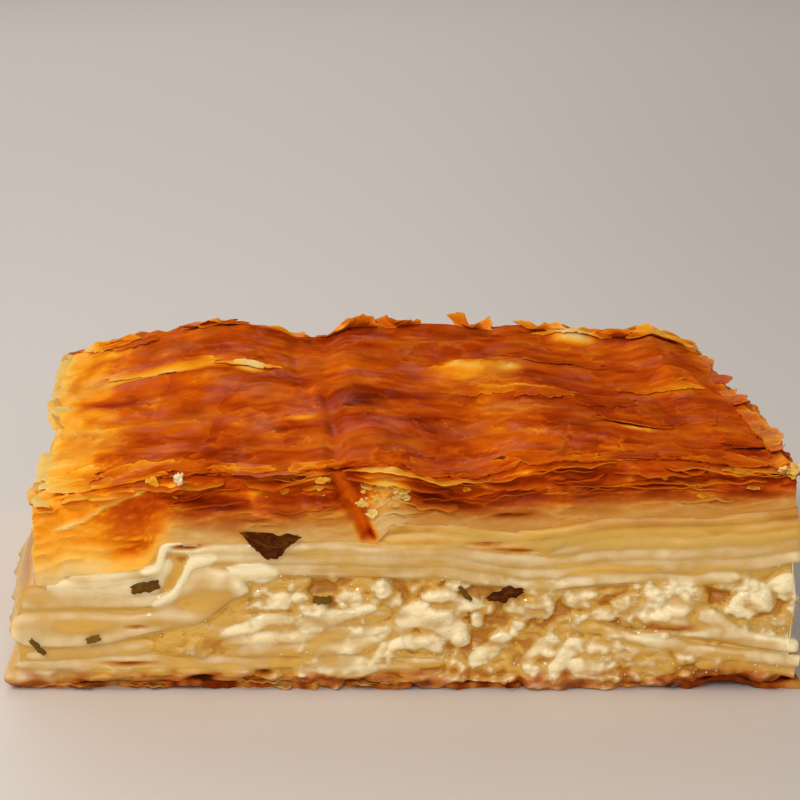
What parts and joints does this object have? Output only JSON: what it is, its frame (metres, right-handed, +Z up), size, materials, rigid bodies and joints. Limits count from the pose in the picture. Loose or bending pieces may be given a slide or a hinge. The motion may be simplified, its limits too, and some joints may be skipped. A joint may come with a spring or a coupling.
{
  "type": "water borek slice",
  "caption": "Square slice of water borek: browned crisp flaky top, soft boiled pastry sheets, crumbled white cheese and dark herb leaves on a thin browned base.",
  "frame": {"origin": "centre of the slice's bounding box at the height of the surface it stands on", "axes": "+X along the front cut face to the viewer's right, +Y from the front face to the back, +Z up"},
  "size_m": [0.1102, 0.088, 0.0323],
  "materials": {
    "base_crust": "thin browned crisp base sheet",
    "crisp_top": "browned flaky crisp top, buttery gloss",
    "upper_sheet_1": "moist boiled pastry, cream",
    "upper_sheet_2": "moist boiled pastry, cream",
    "upper_sheet_3": "moist boiled pastry, cream",
    "upper_sheet_4": "moist boiled pastry, cream",
    "upper_sheet_5": "moist boiled pastry, cream",
    "upper_sheet_6": "moist boiled pastry, cream",
    "middle_sheet_1": "moist boiled pastry, cream",
    "middle_sheet_2": "moist boiled pastry, cream",
    "middle_sheet_3": "moist boiled pastry, cream",
    "left_sheet": "moist boiled pastry, cream",
    "lower_sheet_1": "moist boiled pastry, cream",
    "lower_sheet_2": "moist boiled pastry, cream",
    "slanted_sheet_1": "moist boiled pastry, cream",
    "slanted_sheet_2": "moist boiled pastry, cream",
    "left_fold": "moist boiled pastry, cream",
    "right_sheet_1": "moist boiled pastry, cream",
    "right_sheet_2": "moist boiled pastry, cream",
    "right_sheet_3": "moist boiled pastry, cream",
    "cheese_upper": "crumbled white cheese, moist",
    "cheese_left": "crumbled white cheese, moist",
    "cheese_lower": "crumbled white cheese, moist",
    "herb_leaf_1": "dark baked herb leaf",
    "herb_leaf_2": "dark baked herb leaf",
    "herb_leaf_3": "dark baked herb leaf",
    "herb_leaf_4": "dark baked herb leaf",
    "herb_leaf_5": "dark baked herb leaf",
    "herb_leaf_6": "dark baked herb leaf",
    "herb_leaf_7": "dark baked herb leaf"
  },
  "bodies": {
    "root": {"base_crust": "base_crust", "crisp_top": "crisp_top", "upper_sheet_1": "upper_sheet_1", "upper_sheet_2": "upper_sheet_2", "upper_sheet_3": "upper_sheet_3", "upper_sheet_4": "upper_sheet_4", "upper_sheet_5": "upper_sheet_5", "upper_sheet_6": "upper_sheet_6", "middle_sheet_1": "middle_sheet_1", "middle_sheet_2": "middle_sheet_2", "middle_sheet_3": "middle_sheet_3", "left_sheet": "left_sheet", "lower_sheet_1": "lower_sheet_1", "lower_sheet_2": "lower_sheet_2", "slanted_sheet_1": "slanted_sheet_1", "slanted_sheet_2": "slanted_sheet_2", "left_fold": "left_fold", "right_sheet_1": "right_sheet_1", "right_sheet_2": "right_sheet_2", "right_sheet_3": "right_sheet_3", "cheese_upper": "cheese_upper", "cheese_left": "cheese_left", "cheese_lower": "cheese_lower", "herb_leaf_1": "herb_leaf_1", "herb_leaf_2": "herb_leaf_2", "herb_leaf_3": "herb_leaf_3", "herb_leaf_4": "herb_leaf_4", "herb_leaf_5": "herb_leaf_5", "herb_leaf_6": "herb_leaf_6", "herb_leaf_7": "herb_leaf_7"}
  },
  "joints": []
}
